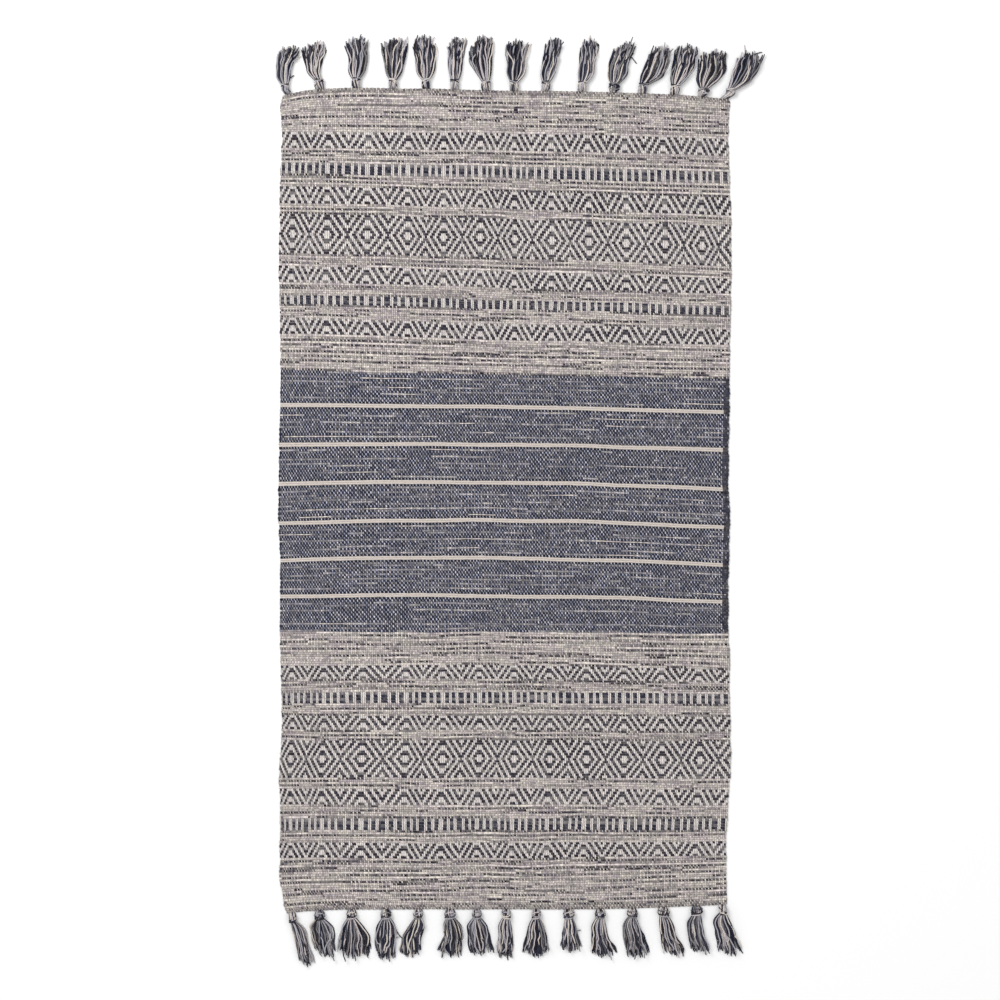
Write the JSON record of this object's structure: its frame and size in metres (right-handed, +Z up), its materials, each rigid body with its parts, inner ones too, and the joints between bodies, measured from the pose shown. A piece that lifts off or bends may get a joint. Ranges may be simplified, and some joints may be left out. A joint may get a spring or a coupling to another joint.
{
  "type": "fringed rug",
  "caption": "Flat-woven cotton floor rug with bands of small diamonds and chevrons, a striped dark middle, and knotted tassels along both ends.",
  "frame": {"origin": "on the cloth's flat underside, at the middle of the cloth", "axes": "+X across the rug, +Y along its length, +Z up from the floor"},
  "size_m": [0.7602, 1.4622, 0.0112],
  "materials": {
    "woven_cotton": "matt flat-woven cotton, navy and cream yarns",
    "tassel_yarn": "matt plied cotton yarn, navy and cream"
  },
  "bodies": {
    "root": {"rug_cloth": "woven_cotton", "tassel_top_01": "tassel_yarn", "tassel_top_02": "tassel_yarn", "tassel_top_03": "tassel_yarn", "tassel_top_04": "tassel_yarn", "tassel_top_05": "tassel_yarn", "tassel_top_06": "tassel_yarn", "tassel_top_07": "tassel_yarn", "tassel_top_08": "tassel_yarn", "tassel_top_09": "tassel_yarn", "tassel_top_10": "tassel_yarn", "tassel_top_11": "tassel_yarn", "tassel_top_12": "tassel_yarn", "tassel_top_13": "tassel_yarn", "tassel_top_14": "tassel_yarn", "tassel_top_15": "tassel_yarn", "tassel_bottom_01": "tassel_yarn", "tassel_bottom_02": "tassel_yarn", "tassel_bottom_03": "tassel_yarn", "tassel_bottom_04": "tassel_yarn", "tassel_bottom_05": "tassel_yarn", "tassel_bottom_06": "tassel_yarn", "tassel_bottom_07": "tassel_yarn", "tassel_bottom_08": "tassel_yarn", "tassel_bottom_09": "tassel_yarn", "tassel_bottom_10": "tassel_yarn", "tassel_bottom_11": "tassel_yarn", "tassel_bottom_12": "tassel_yarn", "tassel_bottom_13": "tassel_yarn", "tassel_bottom_14": "tassel_yarn", "tassel_bottom_15": "tassel_yarn"}
  },
  "joints": []
}
